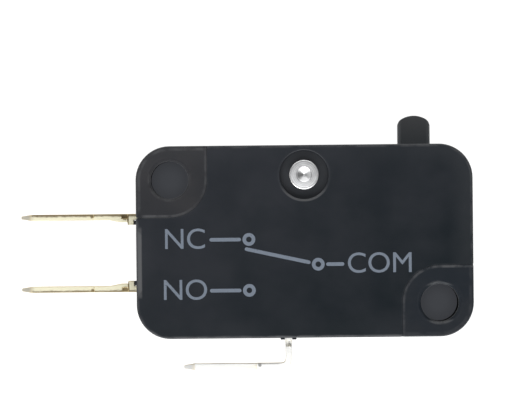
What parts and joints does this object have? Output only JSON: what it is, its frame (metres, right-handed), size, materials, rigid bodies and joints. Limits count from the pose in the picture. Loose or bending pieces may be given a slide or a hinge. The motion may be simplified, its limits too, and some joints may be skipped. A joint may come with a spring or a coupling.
{
  "type": "miniature snap-action switch",
  "caption": "Flat black plastic micro switch with a pin plunger on top, stepped push-on tabs at one end and a bent common tab below; pressing the plunger snaps a contact blade over.",
  "frame": {"origin": "centre of the housing's outline, on its back face", "axes": "+X along the housing away from the side terminals, +Y towards the plunger, +Z from the back face to the front face"},
  "size_m": [0.0373, 0.0208, 0.0103],
  "materials": {
    "case_plastic": "moulded, fine satin",
    "cover_plastic": "moulded, smooth satin",
    "plunger_plastic": "moulded, satin",
    "terminal_brass": "stamped, bright",
    "rivet_aluminium": "turned, bright",
    "contact_silver": "silver alloy, bright",
    "blade_bronze": "rolled spring bronze",
    "lever_steel": "rolled, satin",
    "spring_steel": "drawn wire"
  },
  "bodies": {
    "housing": {"case": "case_plastic", "cover": "cover_plastic", "cover_rivet": "rivet_aluminium", "normally_closed_terminal": "terminal_brass", "normally_open_terminal": "terminal_brass", "common_terminal": "terminal_brass", "normally_closed_contact": "contact_silver", "normally_open_contact": "contact_silver", "snap_spring": "spring_steel"},
    "plunger": {"plunger": "plunger_plastic"},
    "lever": {"actuating_lever": "lever_steel"},
    "blade": {"contact_blade": "blade_bronze", "moving_contact": "contact_silver"}
  },
  "joints": [
    {"name": "plunger_slide", "type": "slide", "parent": "housing", "child": "plunger", "axis": [0, -1, 0], "range_m": [0, 0.0018], "stiffness_N_per_m": 900},
    {"name": "lever_rock", "type": "hinge", "parent": "housing", "child": "lever", "pos_m": [0.0041, -0.00072, 0.00505], "axis": [0, 0, -1], "range_deg": [0, 21.5], "deforming": ["snap_spring"]},
    {"name": "blade_swing", "type": "hinge", "parent": "housing", "child": "blade", "pos_m": [0.0036, 0.00038, 0.00505], "axis": [0, 0, 1], "range_deg": [0, 5.7]}
  ],
  "couplings": [
    {"joint": "lever_rock", "follows": "plunger_slide", "rad_per_m": 208.4},
    {"joint": "blade_swing", "follows": "plunger_slide", "rad_per_m": 55.2}
  ]
}
